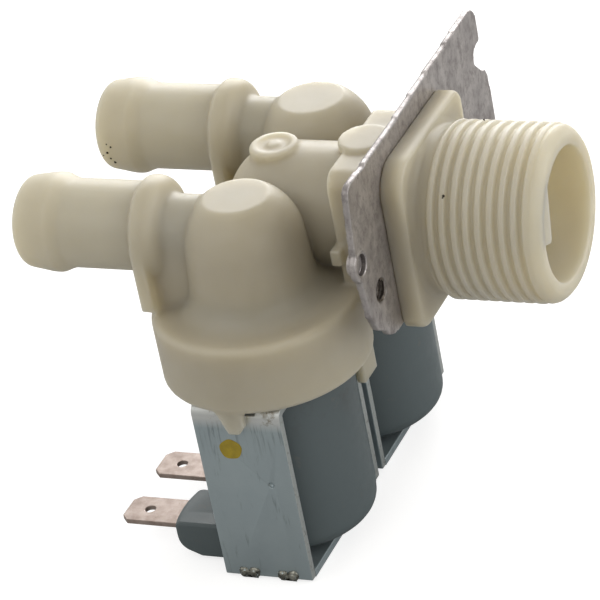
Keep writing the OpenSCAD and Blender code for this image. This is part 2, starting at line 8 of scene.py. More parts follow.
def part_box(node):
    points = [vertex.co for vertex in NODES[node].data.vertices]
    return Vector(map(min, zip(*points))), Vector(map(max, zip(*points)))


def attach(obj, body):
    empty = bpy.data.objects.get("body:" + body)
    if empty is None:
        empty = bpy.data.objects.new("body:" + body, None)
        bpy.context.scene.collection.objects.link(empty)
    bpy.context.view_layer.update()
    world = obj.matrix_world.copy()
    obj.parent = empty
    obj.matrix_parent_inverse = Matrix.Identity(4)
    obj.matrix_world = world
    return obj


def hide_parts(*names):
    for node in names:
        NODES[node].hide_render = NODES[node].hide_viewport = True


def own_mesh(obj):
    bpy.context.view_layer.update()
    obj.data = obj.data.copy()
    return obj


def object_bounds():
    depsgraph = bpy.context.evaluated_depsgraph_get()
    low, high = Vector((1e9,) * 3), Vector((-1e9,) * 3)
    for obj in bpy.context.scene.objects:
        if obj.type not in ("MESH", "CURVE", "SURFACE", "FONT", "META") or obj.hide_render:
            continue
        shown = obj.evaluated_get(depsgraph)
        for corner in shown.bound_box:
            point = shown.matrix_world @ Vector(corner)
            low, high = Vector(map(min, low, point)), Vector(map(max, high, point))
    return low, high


bl_info = {
    "name": "Solenoid inlet valve",
    "version": (1, 0, 0),
    "blender": (4, 5, 0),
    "location": "View3D > Sidebar > Valve",
    "description": "Dresses a two-way solenoid inlet valve and its studio",
    "category": "Object",
}

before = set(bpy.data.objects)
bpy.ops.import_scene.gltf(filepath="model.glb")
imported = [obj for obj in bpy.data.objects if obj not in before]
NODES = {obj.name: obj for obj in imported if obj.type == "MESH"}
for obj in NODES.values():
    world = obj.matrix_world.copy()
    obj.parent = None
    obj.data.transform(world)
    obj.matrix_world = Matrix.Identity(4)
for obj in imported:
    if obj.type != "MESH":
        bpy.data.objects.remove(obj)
CAD_LOW, CAD_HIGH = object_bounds()
MM = 0.001
SIDES = ("front", "back")
# Where the valves' axes stand along x, and how far their cores travel
VALVE_X = -22.0 * MM
# Noise values between which a finish goes from its least to its greatest roughness
GLOSS_SPAN = (0.3, 0.7)

# Meshes: points this close are merged, faces this flat are merged, and edges sharper than this are broken
WELD = 1e-6
FLAT = math.radians(1)
SHARP = math.radians(32)
# A face looks along an axis when its normal has more than this share of it
LOOKS_ALONG = 0.75

# Inlet: square flange with one wide corner, fillet into the neck, thread, and the seat at the bore's foot
FLANGE_HALF = 13.3 * MM
FLANGE_THICK = 3.4 * MM
FLANGE_EDGE = 1.0 * MM
FLANGE_CHAMFER = 0.3 * MM
FLANGE_RIM = 1.1 * MM
FLANGE_CORNER = 2.2 * MM
FLANGE_WIDE_CORNER = 5.0 * MM
FILLET = 1.1 * MM
FILLET_FALL = 2.2
FILLET_INSET = 0.6 * MM
FILLET_MOST = 0.3 * MM
NOSE_LENGTH = 1.45 * MM
# Thread: the place of a groove, where it rises from the neck and over what length, over what length it fades
# into the nose, and the part of each wave that stands out as a crest
THREAD_GROOVE = 4.8 * MM
THREAD_RISE_FROM = 5.0 * MM
THREAD_RISE = 1.2 * MM
THREAD_FALL = 0.9 * MM
CREST_FROM = -0.8
CREST_SPAN = 1.35
THREAD_ROWS = 154
INLET_SIDES = 240
SEAT_RADIUS = 8.25 * MM
SEAT_DEPTH = 2.0 * MM
TOUCH = 0.01 * MM

# Ledge: its ends, measured back from the mouth, its wedge as (y, z) in millimetres, and its arc along the
# bore's wall, as start, stop and step in degrees
LEDGE_BACK = 6.0 * MM
LEDGE_FRONT = 0.3 * MM
LEDGE_WEDGE = ((-5.6, 8.9), (-5.75, 7.6), (-7.0, 0.1), (-7.3, -0.35), (-7.7, -0.4))
LEDGE_ARC = (176, 122, -6)

# The body is cut inside the plate's slot, where the inlet meets it
BODY_CUT = -0.1 * MM

# Plate: middles of the pressed button and of the tapped hole as (y, z), and the stub that the button has
# behind the plate's back, which narrows
BUTTON = (-22.7 * MM, 3.8 * MM)
HOLE = (-18.1 * MM, -3.2 * MM)
PLATE_BACK = -1.1 * MM
STUB_REACH = 3 * MM
STUB_TAPER = 0.65
# The button's rim and floor as (x, radius) in millimetres, and its torn band between two radii, painted dark
# partly as torn steel and partly as the recess's shade
BUTTON_RIM = ((-1.1, 0.0), (-1.1, 2.1), (-0.9, 2.4), (-0.35, 2.5),
              (-0.1, 2.42), (0.05, 2.15), (0.03, 1.8), (-0.1, 1.6))
BUTTON_FLOOR = ((-0.74, 1.5), (-0.78, 1.38), (-0.66, 1.15), (-0.62, 0.6), (-0.62, 0.0))
BUTTON_TORN_AND_SHADED = (1.3 * MM, 1.58 * MM)
# Thread of the tapped hole: pitch, radii of its crests and its wall, steps in a turn, turns, and its start
TAP_PITCH = 0.5 * MM
TAP_CORE = 1.42 * MM
TAP_WALL = 1.74 * MM
TAP_STEPS = 40
TAP_TURNS = 4
TAP_FROM = -2.3 * MM

# Paint dot on the near yoke: radius, thickness, how far it sinks in, and its place from the valves' axes
DOT_RADIUS = 1.75 * MM
DOT_THICK = 0.06 * MM
DOT_SUNK = 0.02 * MM
DOT_X = -1.8 * MM
DOT_Z = -25.5 * MM

# Peened heads: places across the yoke, half sizes, how far in they sit, their height over the base's
# underside, and how much higher every second one sits
HEAD_PLACES = (-3.9 * MM, -2.3 * MM, 2.4 * MM, 4.0 * MM)
HEAD_HALF = Vector((0.95, 0.48, 0.92)) * MM
HEAD_SUNK = 0.5 * MM
HEAD_HEIGHT = 0.8 * MM
HEAD_OFFSET = 0.08 * MM

# Places of the black specks in millimetres, near the surface that they are snapped to, and their radii
TAIL_GRIT = ((-54.68, 7.86, 4.08), (-53.96, 7.85, 3.68), (-54.9, 7.95, 2.54),
             (-55.85, 8.1, 1.85), (-54.64, 8.23, 1.44), (-54.16, 8.53, 0.7))
THREAD_GRIT = ((8.49, -10.47, 8.04), (9.96, 5.01, 12.21), (8.62, -10.29, 8.27))
SPECK_SIZES = (0.12 * MM, 0.17 * MM, 0.22 * MM)

# Painted glow: the thin walls' base colour is made paler, standing in for light that comes through them: how
# much, and between which places along x it sets in
PAINTED_GLOW = (1.23, 1.24, 1.26, 1)
TAILS_PAINTED_GLOW = (-35.0 * MM, -42.0 * MM)
INLET_PAINTED_GLOW = (3.5 * MM, 12.0 * MM)

# Heights between which a yoke's scratches, the highlight painted on its bend and the coils' grime set in
SCRATCHED = (-27.5 * MM, -21.5 * MM)
BEND_HIGHLIGHT = (-22.0 * MM, -20.3 * MM)
GRIMY = (-27.0 * MM, -20.0 * MM)

# Camera: degrees round, above and rolled, distance and offsets in metres, and its lens in the photo's pixels
CAMERA_ANGLES = (27.91, 29.9, -11.51)
CAMERA_DISTANCE = 0.52059
CAMERA_ACROSS = 0.00224
CAMERA_RISE = -0.0148
PHOTO_WIDTH = 600
FOCAL_PIXELS = 3481.5
SENSOR = 36
CLIP = (0.01, 20)

# Studio: the floor's radius and its gap under the part in metres, what the camera sees of it, the room's
# light, and each lamp's name, place, size and power
FLOOR_RADIUS = 3.0
FLOOR_GAP = 0.0002
FLOOR_GLOW = (0.74, 0.74, 0.74, 1)
ROOM_TINT = (1.0, 0.97, 0.92, 1)
ROOM_LIGHT = 0.60
LAMPS = (
    ("top", (-0.1, 0.1, 0.95), 0.6, 0.3),
    ("right", (0.85, 0.25, 0.35), 0.7, 2.9),
    ("back", (-0.2, 0.9, 0.35), 0.8, 7.5),
    ("left", (-0.9, 0.1, 0.3), 0.8, 0.8),
    ("front", (-0.35, -0.75, 0.7), 0.8, 1.2),
    ("mouth", (0.95, -0.35, 0.25), 0.6, 0.9),
)


class ThreadSizes(bpy.types.PropertyGroup):
    pitch: bpy.props.FloatProperty(
        name="Pitch", description="Distance from crest to crest", default=1.814 * MM, unit="LENGTH")
    crest: bpy.props.FloatProperty(
        name="Crest radius", description="Radius over the crests", default=13.22 * MM, unit="LENGTH")
    root: bpy.props.FloatProperty(
        name="Root radius", description="Radius between the crests", default=12.65 * MM, unit="LENGTH")
    neck: bpy.props.FloatProperty(
        name="Neck radius", description="Radius before the thread", default=12.42 * MM, unit="LENGTH")
    bore: bpy.props.FloatProperty(
        name="Bore radius", description="Radius of the bore", default=10.0 * MM, unit="LENGTH")
    nose: bpy.props.FloatProperty(
        name="Nose radius", description="Radius where the thread runs out", default=13.0 * MM, unit="LENGTH")
    reach: bpy.props.FloatProperty(
        name="Reach", description="Mouth in front of the plate's face", default=23.0 * MM, unit="LENGTH")


class BodyFinish(bpy.types.PropertyGroup):
    cream: bpy.props.StringProperty(
        name="Cream", description="Colour of the moulded body", default="#B9B2A0")
    shade: bpy.props.StringProperty(
        name="Shade", description="Deeper tint of the moulding", default="#B1A994")
    voxel: bpy.props.FloatProperty(
        name="Fillet grain", description="Grain of the blended fillets", default=0.34 * MM, unit="LENGTH")
    rounds: bpy.props.IntProperty(
        name="Rounding", description="Passes that round the moulded edges", default=4)
    keep: bpy.props.FloatProperty(
        name="Kept share", description="Share of the grid's faces that stays", default=0.5, subtype="FACTOR")


class PlateFinish(bpy.types.PropertyGroup):
    voxel: bpy.props.FloatProperty(
        name="Edge grain", description="Grain of the plate's soft edges", default=0.25 * MM, unit="LENGTH")
    rounds: bpy.props.IntProperty(
        name="Rounding", description="Passes that round the plate's edges", default=4)
    keep: bpy.props.FloatProperty(
        name="Kept share", description="Share of the grid's faces that stays", default=1.0, subtype="FACTOR")


class CoilFinish(bpy.types.PropertyGroup):
    slate: bpy.props.StringProperty(
        name="Slate", description="Colour of the coil covers", default="#525D60")
    zinc: bpy.props.StringProperty(
        name="Zinc", description="Colour of the yokes", default="#A8B5B9")
    dot: bpy.props.StringProperty(
        name="Dot", description="Colour of the inspection dot", default="#A8921F")
    edge: bpy.props.FloatProperty(
        name="Edge", description="Width of the sheet parts' broken edges", default=0.14 * MM, unit="LENGTH")


def linear(text):
    """sRGB hex to a linear colour."""
    part = [int(text[i : i + 2], 16) / 255 for i in (1, 3, 5)]
    return tuple(c / 12.92 if c <= 0.04045 else ((c + 0.055) / 1.055) ** 2.4 for c in part) + (1.0,)


def node(tree, kind, links=None, **settings):
    """Adds one shader node, with its settings and its links {input: output socket or value}."""
    made = tree.nodes.new(kind)
    for key, value in settings.items():
        setattr(made, key, value)
    for key, value in (links or {}).items():
        if isinstance(value, bpy.types.NodeSocket):
            tree.links.new(value, made.inputs[key])
        else:
            made.inputs[key].default_value = value
    return made


def start(name):
    """A material with its shader and Object coordinates."""
    mat = bpy.data.materials.new(name)
    mat.use_nodes = True
    tree = mat.node_tree
    shader = tree.nodes["Principled BSDF"]
    where = node(tree, "ShaderNodeTexCoord").outputs["Object"]
    return mat, tree, shader, where


def grain(tree, where, width, detail, rough=0.6, height=None):
    """A cloudy pattern with patches this many millimetres wide, and this high where they are drawn out.

    Real scratches, flecks and grit are finer, so the finest are drawn as coarse as they need to show."""
    across = 1 / (width * MM)
    upright = 1 / ((height or width) * MM)
    place = node(tree, "ShaderNodeMapping", {"Vector": where, "Scale": (across, across, upright)})
    links = {"Vector": place.outputs["Vector"], "Scale": 1.0, "Detail": detail, "Roughness": rough}
    return node(tree, "ShaderNodeTexNoise", links).outputs["Fac"]


def layer(tree, base, tint, pattern, low, high, most=1.0, within=None, mode="MIX"):
    """Lays a tint over a base where a pattern is high: nothing up to low, and most of it from high on.

    within is a second pattern with its own low and high, below which the layer is left out."""
    links = {"Value": pattern, "From Min": low, "From Max": high, "To Max": most}
    share = node(tree, "ShaderNodeMapRange", links).outputs["Result"]
    if within:
        links = dict(zip(("Value", "From Min", "From Max"), within))
        inside = node(tree, "ShaderNodeMapRange", links).outputs["Result"]
        share = node(tree, "ShaderNodeMath", {0: inside, 1: share}, operation="MULTIPLY").outputs[0]
    mix = node(tree, "ShaderNodeMix", data_type="RGBA", blend_type=mode)
    for socket, value in (("Factor", share), ("A", base), ("B", tint)):
        target = next(s for s in mix.inputs if s.name == socket and s.enabled)
        if isinstance(value, bpy.types.NodeSocket):
            tree.links.new(value, target)
        else:
            target.default_value = value
    return next(s for s in mix.outputs if s.enabled)


def coat(tree, shader, base, rough, metal=0.0, relief=None):
    """Joins a finish to its shader: its colour, its roughness, how far it is metal, and its relief.

    rough is one number, or a pattern with its least and greatest roughness.
    relief is a pattern with its strength and its depth in millimetres."""
    tree.links.new(base, shader.inputs["Base Color"])
    shader.inputs["Metallic"].default_value = metal
    if isinstance(rough, tuple):
        pattern, least, most = rough
        low, high = GLOSS_SPAN
        links = {"Value": pattern, "From Min": low, "From Max": high, "To Min": least, "To Max": most}
        gloss = node(tree, "ShaderNodeMapRange", links)
        tree.links.new(gloss.outputs["Result"], shader.inputs["Roughness"])
    else:
        shader.inputs["Roughness"].default_value = rough
    if relief:
        pattern, strength, depth = relief
        links = {"Height": pattern, "Strength": strength, "Distance": depth * MM}
        tree.links.new(node(tree, "ShaderNodeBump", links).outputs["Normal"], shader.inputs["Normal"])


def moulded_polyamide(cream, shade):
    """Unfilled polyamide 66 as moulded: warm cream, slightly waxy, with faint flow marks, inner light and a
    glow painted onto the thin walls.
    """
    mat, tree, shader, where = start("moulded_polyamide_66")
    along = node(tree, "ShaderNodeSeparateXYZ", {"Vector": where}).outputs["X"]
    flow = grain(tree, where, 22.2, 3.0)
    fine = grain(tree, where, 1.11, 5.0, 0.7)
    base = layer(tree, linear(cream), linear(shade), flow, 0.35, 0.7)
    base = layer(tree, base, linear("#8F8467"), fine, 0.64, 0.8, 0.10)
    # painted glow: the base colour of the tails' and the inlet's thin walls is made paler than the cups',
    # standing in for light that comes through them
    base = layer(tree, base, PAINTED_GLOW, along, *TAILS_PAINTED_GLOW, mode="MULTIPLY")
    base = layer(tree, base, PAINTED_GLOW, along, *INLET_PAINTED_GLOW, mode="MULTIPLY")
    coat(tree, shader, base, (fine, 0.40, 0.50), relief=(fine, 0.06, 0.05))
    shader.inputs["IOR"].default_value = 1.53
    shader.inputs["Subsurface Weight"].default_value = 1.0
    shader.inputs["Subsurface Radius"].default_value = (1.0, 0.93, 0.76)
    shader.inputs["Subsurface Scale"].default_value = 8.0 * MM
    return mat


def tumbled_zinc():
    """Zinc-plated sheet after barrel plating: grey, mottled and flecked all over, with a soft shine."""
    mat, tree, shader, where = start("tumbled_zinc_plate")
    cloud = grain(tree, where, 4.17, 5.0)
    mottle = grain(tree, where, 1.61, 6.0, 0.72, height=2.30)
    fleck = grain(tree, where, 0.667, 4.0, 0.8)
    base = layer(tree, linear("#BDB8B6"), linear("#A7A2A1"), cloud, 0.38, 0.62)
    base = layer(tree, base, linear("#857F7E"), mottle, 0.46, 0.62, 0.75)
    base = layer(tree, base, linear("#5F5A59"), fleck, 0.60, 0.70, 0.8)
    coat(tree, shader, base, (mottle, 0.34, 0.5), metal=0.7, relief=(mottle, 0.4, 0.06))
    return mat


def sheared_edge_highlight():
    """Cut edge of plated sheet, fairly smooth, with drag marks: its lighter tint is a painted highlight
    along the edges.
    """
    mat, tree, shader, where = start("sheared_yoke_edge_highlight")
    drag = grain(tree, where, 0.714, 4.0, 0.7)
    base = layer(tree, linear("#B7BDBC"), linear("#6B6765"), drag, 0.55, 0.72, 0.8)
    coat(tree, shader, base, 0.36, metal=0.7, relief=(drag, 0.2, 0.04))
    return mat


def bright_zinc(zinc):
    """Blue-passivated zinc on bent strip: cool and cloudy, scratched upright, with a highlight painted
    bright on the bend.
    """
    mat, tree, shader, where = start("blue_passivated_zinc")
    height = node(tree, "ShaderNodeSeparateXYZ", {"Vector": where}).outputs["Z"]
    cloud = grain(tree, where, 7.69, 5.0)
    line = grain(tree, where, 0.992, 5.0, 0.65, height=7.94)
    stain = grain(tree, where, 2.63, 6.0, 0.75)
    scratch = grain(tree, where, 0.505, 3.0, height=6.94)
    base = layer(tree, linear(zinc), linear("#A2AFB4"), cloud, 0.35, 0.65)
    base = layer(tree, base, linear("#616A6B"), line, 0.60, 0.70, 0.5)
    base = layer(tree, base, linear("#A9B2B2"), stain, 0.62, 0.72, 0.45)
    # fine scratches grow denser towards the bend; the bend has a painted highlight, a bright band in its
    # colour, with brown stains on it
    base = layer(tree, base, linear("#626A6B"), scratch, 0.54, 0.64, 0.55, within=(height, *SCRATCHED))
    bend_highlight_and_stains = layer(tree, linear("#CDD0CF"), linear("#8B8473"), stain, 0.55, 0.66)
    base = layer(tree, base, bend_highlight_and_stains, height, *BEND_HIGHLIGHT)
    coat(tree, shader, base, (stain, 0.34, 0.48), metal=0.7, relief=(line, 0.12, 0.04))
    return mat


def glass_filled_grey(slate):
    """Grey glass-filled polyamide around the coil: dull slate with a dry bloom and dusty smudges."""
    mat, tree, shader, where = start("glass_filled_grey_polyamide")
    height = node(tree, "ShaderNodeSeparateXYZ", {"Vector": where}).outputs["Z"]
    streak = grain(tree, where, 8.33, 5.0, height=23.8)
    dust = grain(tree, where, 3.33, 6.0, 0.7)
    blots = grain(tree, where, 6.25, 5.0, 0.65)
    base = layer(tree, linear(slate), linear("#505B5E"), streak, 0.35, 0.7)
    base = layer(tree, base, linear("#7C7268"), dust, 0.60, 0.78, 0.35)
    # dark grime settles in blots under the cup
    base = layer(tree, base, linear("#45413C"), blots, 0.54, 0.66, 0.7, within=(height, *GRIMY))
    coat(tree, shader, base, (dust, 0.42, 0.58), relief=(dust, 0.10, 0.05))
    shader.inputs["IOR"].default_value = 1.55
    return mat


def tinned_blade():
    """Tin-plated brass, a little tarnished: warm pinkish grey with dark pits."""
    mat, tree, shader, where = start("tarnished_tinned_brass")
    cloud = grain(tree, where, 2.38, 7.0, 0.7)
    pits = grain(tree, where, 0.769, 5.0, 0.8)
    base = layer(tree, linear("#A99B93"), linear("#93837A"), cloud, 0.38, 0.66)
    base = layer(tree, base, linear("#7A675D"), pits, 0.60, 0.72, 0.7)
    coat(tree, shader, base, (cloud, 0.34, 0.5), metal=0.6, relief=(pits, 0.2, 0.03))
    return mat


def plain_finish(name, colour, dark, rough, metal=0.0, width=2.5):
    """A finish of two close tints in a fine grain of this width in millimetres."""
    mat, tree, shader, where = start(name)
    tone = grain(tree, where, width, 5.0)
    base = layer(tree, linear(colour), linear(dark), tone, 0.35, 0.65)
    coat(tree, shader, base, rough, metal, (tone, 0.08, 0.03))
    return mat


def inspection_paint(colour):
    """Dab of inspection paint: flat and even, with faint brush tones."""
    mat, tree, shader, where = start("inspection_paint")
    tone = grain(tree, where, 1.43, 3.0)
    coat(tree, shader, layer(tree, linear(colour), linear("#927F1C"), tone, 0.35, 0.65), 0.5)
    return mat


def grime():
    """Black grit caught on the moulding: matt, with browner specks."""
    mat, tree, shader, where = start("black_grit")
    tone = grain(tree, where, 0.4, 2.0)
    coat(tree, shader, layer(tree, linear("#2E2A25"), linear("#4A443B"), tone, 0.4, 0.6), 0.8)
    return mat


def finish(obj, mat):
    """Gives a CAD node its finish."""
    obj.data.materials.clear()
    obj.data.materials.append(mat)


def softened(source, name, mat, width, edge_mat=None, edge_axis=0):
    """Takes a CAD piece's shape and breaks its sharp edges.

    The faces that look along edge_axis get the edge finish, where there is one."""
    bm = bmesh.new()
    bm.from_mesh(NODES[source].data)
    bmesh.ops.remove_doubles(bm, verts=bm.verts, dist=WELD)
    bmesh.ops.dissolve_limit(bm, angle_limit=FLAT, verts=bm.verts, edges=bm.edges)
    sharp = [e for e in bm.edges if len(e.link_faces) == 2 and e.calc_face_angle(0) > SHARP]
    bmesh.ops.bevel(bm, geom=sharp, offset=width, segments=2, profile=0.5, affect="EDGES", material=-1,
                    clamp_overlap=False)
    if edge_mat:
        bm.normal_update()
        for face in bm.faces:
            face.material_index = int(abs(face.normal[edge_axis]) > LOOKS_ALONG)
    obj = mesh_object(name, bm, mat, angle=20)
    if edge_mat:
        obj.data.materials.append(edge_mat)
    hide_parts(source)
    return obj


def blended(source, voxel, rounds, keep):
    """Takes a CAD piece's shape onto a fine grid and smooths it, which rounds edges and inner corners."""
    bm = bmesh.new()
    bm.from_mesh(NODES[source].data)
    bmesh.ops.remove_doubles(bm, verts=bm.verts, dist=WELD)
    mesh = bpy.data.meshes.new(source + "_grid")
    bm.to_mesh(mesh)
    bm.free()
    obj = bpy.data.objects.new(source + "_grid", mesh)
    bpy.context.scene.collection.objects.link(obj)
    grid = obj.modifiers.new("grid", "REMESH")
    grid.mode = "VOXEL"
    grid.voxel_size = voxel
    smooth = obj.modifiers.new("round", "SMOOTH")
    smooth.factor = 0.5
    smooth.iterations = rounds
    fewer = obj.modifiers.new("fewer", "DECIMATE")
    fewer.ratio = keep
    bm = bmesh.new()
    bm.from_object(obj, bpy.context.evaluated_depsgraph_get())
    bpy.data.objects.remove(obj)
    bpy.data.meshes.remove(mesh)
    return bm


def mesh_object(name, bm, mat, angle=60):
    """A finished piece from a bmesh, riding on the valve; edges past this angle in degrees look crisp."""
    bmesh.ops.remove_doubles(bm, verts=bm.verts, dist=WELD)
    bmesh.ops.recalc_face_normals(bm, faces=bm.faces)
    mesh = bpy.data.meshes.new(name)
    bm.to_mesh(mesh)
    bm.free()
    obj = bpy.data.objects.new(name, mesh)
    bpy.context.scene.collection.objects.link(obj)
    mesh.materials.append(mat)
    mesh.shade_smooth()
    mesh.set_sharp_from_angle(angle=math.radians(angle))
    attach(obj, "valve")
    return obj


def lathe(bm, profile, steps, closed=True):
    """Spins a profile of (x, radius) about the inlet axis."""
    verts = [bm.verts.new((x, 0, r)) for x, r in profile]
    ends = verts[1:] + verts[:1] if closed else verts[1:]
    edges = [bm.edges.new(pair) for pair in zip(verts, ends)]
    bmesh.ops.spin(bm, geom=verts + edges, cent=(0, 0, 0), axis=(1, 0, 0), angle=math.tau, steps=steps,
                   use_merge=True)


def raised(bm, step):
    """Draws a flat outline out by a step into a solid."""
    grown = bmesh.ops.extrude_face_region(bm, geom=bm.faces[:])["geom"]
    bmesh.ops.translate(bm, verts=[g for g in grown if isinstance(g, bmesh.types.BMVert)], vec=step)


def limited(value):
    """The value, kept between 0 and 1."""
    return max(0.0, min(1.0, value))


def square_radius(turn, half, corner):
    """Distance from the axis to a rounded square of this half width, along a direction given in turns."""
    a, b = sorted((abs(math.cos(turn * math.tau)), abs(math.sin(turn * math.tau))), reverse=True)
    inner = half - corner
    if half * b / a <= inner:
        return half / a
    along = inner * (a + b)
    return along + math.sqrt(max(0.0, along * along - 2 * inner * inner + corner * corner))


class VALVE_OT_body(bpy.types.Operator):
    """Moulded body with its edges blended as a moulding's are"""

    bl_idname = "valve.body"
    bl_label = "Moulded body"

    def execute(self, context):
        look = context.scene.body_finish
        mat = moulded_polyamide(look.cream, look.shade)
        bm = blended("valve_body", look.voxel, look.rounds, look.keep)
        # the inlet is a piece of its own, with a helical thread, so the solid's plainer inlet is cut away
        bmesh.ops.bisect_plane(bm, geom=bm.verts[:] + bm.edges[:] + bm.faces[:], plane_co=(BODY_CUT, 0, 0),
                               plane_no=(1, 0, 0), clear_outer=True)
        bmesh.ops.bridge_loops(bm, edges=[e for e in bm.edges if e.is_boundary])
        obj = mesh_object("body_moulding", bm, mat)
        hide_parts("valve_body")
        return {"FINISHED"}


class VALVE_OT_inlet(bpy.types.Operator):
    """Threaded inlet with its helical thread, lead-in and inner ledge"""

    bl_idname = "valve.inlet"
    bl_label = "Threaded inlet"

    def execute(self, context):
        t = context.scene.thread_sizes
        mat = bpy.data.materials["moulded_polyamide_66"]
        self.thread(t, mat)
        self.ledge(t, mat)
        return {"FINISHED"}

    def thread(self, t, mat):
        """Square flange, neck, helical thread and rounded nose, spun in one and then shaped"""
        first = FLANGE_THICK + FILLET + 0.2 * MM
        last = t.reach - NOSE_LENGTH
        bm = bmesh.new()
        lathe(bm, self.outline(t, first, last), INLET_SIDES)
        for v in bm.verts:
            radius = math.hypot(v.co.y, v.co.z)
            target = self.shaped(t, v.co, radius, first, last)
            v.co.y *= target / radius
            v.co.z *= target / radius
        mesh_object("threaded_inlet", bm, mat)

    def outline(self, t, first, last):
        """The inlet's half section, in which a radius beyond the flange marks the points of the fillet"""
        outline = [(0, FLANGE_HALF - FLANGE_CHAMFER), (FLANGE_CHAMFER, FLANGE_HALF)]
        for k in range(6):
            a = math.pi / 10 * k
            outline.append((FLANGE_THICK - FLANGE_EDGE * (1 - math.sin(a)),
                            FLANGE_HALF - 0.5 * FLANGE_EDGE * (1 - math.cos(a))))
        outline += [(FLANGE_THICK + FILLET * k / 6, FLANGE_HALF + (0.1 - 0.001 * k) * MM) for k in range(7)]
        outline += [(first + (last - first) * i / THREAD_ROWS, t.neck) for i in range(THREAD_ROWS + 1)]
        # rounded nose and the rounded lip of the bore, as millimetres back from the mouth and off the radius
        nose = ((1.2, 0.1), (0.85, 0.35), (0.5, 0.7), (0.15, 1.15), (0, 1.5))
        lip = ((0, 0.35), (0.15, 0.1), (0.4, 0))
        outline += [(t.reach - back * MM, t.nose - off * MM) for back, off in nose]
        outline += [(t.reach - back * MM, t.bore + off * MM) for back, off in lip]
        return outline + [(SEAT_DEPTH, t.bore), (SEAT_DEPTH, SEAT_RADIUS), (0, SEAT_RADIUS)]

    def shaped(self, t, place, radius, first, last):
        """The radius that a spun point is moved to: on the square flange, its fillet or the thread"""
        x, y, z = place
        turn = math.atan2(z, y) / math.tau
        corner = FLANGE_WIDE_CORNER if y < 0 < z else FLANGE_CORNER
        if radius > FLANGE_HALF + 0.05 * MM:
            # fillet from the flange's face down to the neck
            share = (x - FLANGE_THICK) / FILLET
            foot = min(FLANGE_HALF + FILLET_MOST, square_radius(turn, FLANGE_HALF - FILLET_INSET, corner))
            return t.neck + (foot - t.neck) * max(0.0, 1 - share) ** FILLET_FALL
        if x < FLANGE_THICK + TOUCH and radius > FLANGE_HALF - FLANGE_RIM:
            return square_radius(turn, radius, corner)
        if first - TOUCH < x < last + TOUCH and radius > t.neck - 0.05 * MM:
            wave = math.cos(math.tau * ((x - THREAD_GROOVE) / t.pitch - turn + 0.5))
            # rounded crests that fade into the neck and into the nose
            part = limited((wave - CREST_FROM) / CREST_SPAN)
            height = t.root + (t.crest - t.root) * part * part * (3 - 2 * part)
            rise = limited((x - THREAD_RISE_FROM) / THREAD_RISE)
            fall = limited((last - x) / THREAD_FALL)
            height = t.neck + (height - t.neck) * rise
            return t.nose + (height - t.nose) * fall
        return radius

    def ledge(self, t, mat):
        """Wedge on the near wall of the mouth, with its stepped lower end"""
        out = t.bore + 0.5 * MM
        outline = [(y * MM, z * MM) for y, z in LEDGE_WEDGE]
        for a in range(*LEDGE_ARC):
            outline.append((out * math.cos(math.radians(a)), out * math.sin(math.radians(a))))
        bm = bmesh.new()
        bm.faces.new([bm.verts.new((t.reach - LEDGE_BACK, y, z)) for y, z in outline])
        raised(bm, (LEDGE_BACK - LEDGE_FRONT, 0, 0))
        mesh_object("mouth_ledge", bm, mat)


class VALVE_OT_plate(bpy.types.Operator):
    """Mounting plate with its tapped hole and its pressed button"""

    bl_idname = "valve.plate"
    bl_label = "Mounting plate"

    def execute(self, context):
        look = context.scene.plate_finish
        bm = blended("mounting_plate", look.voxel, look.rounds, look.keep)
        # the stub pressed back out of the edge narrows behind the plate
        for v in bm.verts:
            if v.co.x < PLATE_BACK and math.hypot(v.co.y - BUTTON[0], v.co.z - BUTTON[1]) < STUB_REACH:
                v.co.y = BUTTON[0] + STUB_TAPER * (v.co.y - BUTTON[0])
                v.co.z = BUTTON[1] + STUB_TAPER * (v.co.z - BUTTON[1])
        obj = mesh_object("plate", bm, tumbled_zinc(), angle=180)
        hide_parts("mounting_plate")
        self.tapping()
        self.button()
        return {"FINISHED"}

    def tapping(self):
        """Thread down the wall of the tapped hole"""
        mat = plain_finish("oily_tapped_steel", "#A39C96", "#5C5651", 0.28, 0.8, 0.667)
        bm = bmesh.new()
        section = ((0, TAP_WALL), (0.2 * MM, TAP_CORE), (0.3 * MM, TAP_CORE), (0.48 * MM, TAP_WALL),
                   (0.24 * MM, TAP_WALL + 0.12 * MM))
        verts = [bm.verts.new((x, 0, r)) for x, r in section]
        edges = [bm.edges.new(pair) for pair in zip(verts, verts[1:] + verts[:1])]
        for turn in range(TAP_TURNS):
            spun = bmesh.ops.spin(bm, geom=verts + edges, cent=(0, 0, 0), axis=(1, 0, 0), angle=math.tau,
                                  dvec=(TAP_PITCH / TAP_STEPS, 0, 0), steps=TAP_STEPS, use_merge=False)
            verts = [g for g in spun["geom_last"] if isinstance(g, bmesh.types.BMVert)]
            edges = [g for g in spun["geom_last"] if isinstance(g, bmesh.types.BMEdge)]
        bmesh.ops.holes_fill(bm, edges=bm.edges[:], sides=len(section) + 1)
        bm.transform(Matrix.Translation((TAP_FROM, *HOLE)))
        mesh_object("tapped_thread", bm, mat, angle=50)

    def button(self):
        """Round stub half sheared out of the plate's edge, with its torn wall painted dark, partly as torn
        steel and partly as painted shade
        """
        bm = bmesh.new()
        lathe(bm, [(x * MM, r * MM) for x, r in BUTTON_RIM + BUTTON_FLOOR], 64, closed=False)
        bm.normal_update()
        for face in bm.faces:
            middle = face.calc_center_median()
            # painted shade: the wall between these radii gets the dark torn finish, partly torn steel,
            # partly the recess's shade
            face.material_index = int(BUTTON_TORN_AND_SHADED[0] < math.hypot(middle.y, middle.z) < BUTTON_TORN_AND_SHADED[1])
        bm.transform(Matrix.Translation((0, *BUTTON)))
        zinc = bpy.data.materials["tumbled_zinc_plate"]
        obj = mesh_object("pressed_button", bm, zinc, angle=50)
        obj.data.materials.append(plain_finish("torn_steel_and_painted_shade", "#655F5C", "#454040", 0.45, 0.4, 0.667))


